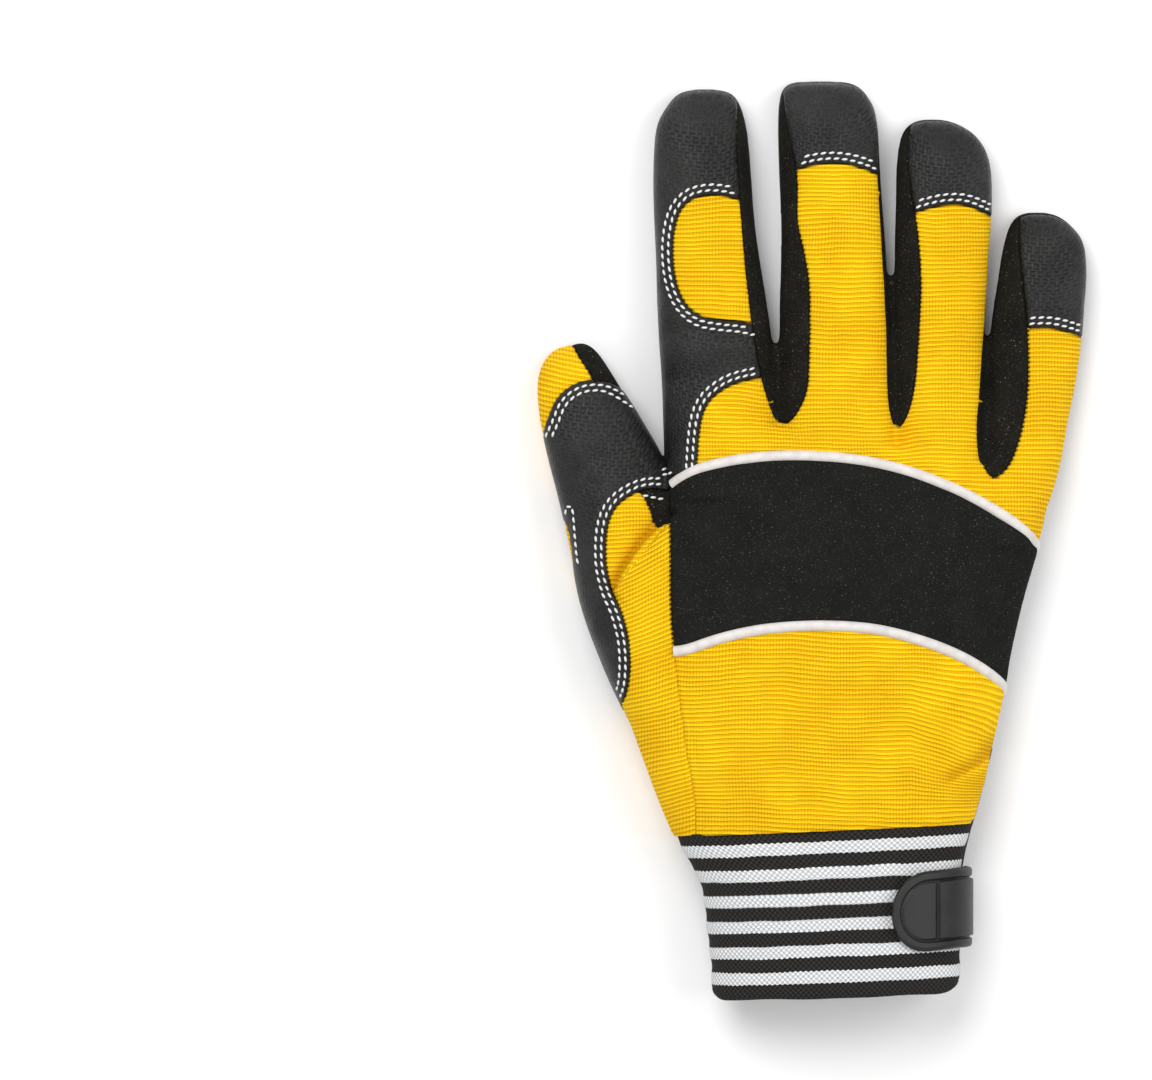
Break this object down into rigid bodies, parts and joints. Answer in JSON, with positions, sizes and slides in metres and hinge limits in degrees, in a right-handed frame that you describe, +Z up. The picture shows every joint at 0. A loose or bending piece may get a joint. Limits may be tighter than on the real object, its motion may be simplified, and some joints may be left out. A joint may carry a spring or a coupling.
{
  "type": "work glove",
  "caption": "Right-hand synthetic leather work glove with knit back, padded knuckle panel, fourchettes, striped elastic cuff and rubber closure tab.",
  "frame": {"origin": "middle of the outline at the surface that the palm lies on", "axes": "+Y towards the fingertips, +X towards the little finger, +Z up through the back of the hand"},
  "size_m": [0.1582, 0.2656, 0.037],
  "materials": {
    "knit": "yellow ribbed stretch knit",
    "knuckle_cloth": "matt black brushed cloth",
    "piping": "satin off-white piping",
    "leather_back": "black embossed synthetic leather",
    "leather_palm": "charcoal embossed synthetic leather",
    "suede": "black microfibre suede",
    "striped_elastic": "black and white striped elastic",
    "rubber": "moulded black rubber"
  },
  "bodies": {
    "root": {"back_finger_panel": "knit", "index_back_insert": "knit", "back_hand_panel": "knit", "thumb_panel": "knit", "knuckle_panel": "knuckle_cloth", "knuckle_piping_upper": "piping", "knuckle_piping_lower": "piping", "index_leather": "leather_back", "middle_cap": "leather_back", "ring_cap": "leather_back", "little_cap": "leather_back", "thumb_leather": "leather_back", "thumb_web": "suede", "fourchette_index_middle": "suede", "fourchette_middle_ring": "suede", "fourchette_ring_little": "suede", "thumb_suede": "suede", "palm_suede": "suede", "index_band": "suede", "middle_band": "suede", "wrist_suede": "suede", "palm_leather": "leather_palm", "index_tip_pad": "leather_palm", "middle_tip_pad": "leather_palm", "thenar_patch": "leather_palm", "cuff": "striped_elastic", "closure_tab": "rubber", "closure_strap": "rubber"}
  },
  "joints": []
}
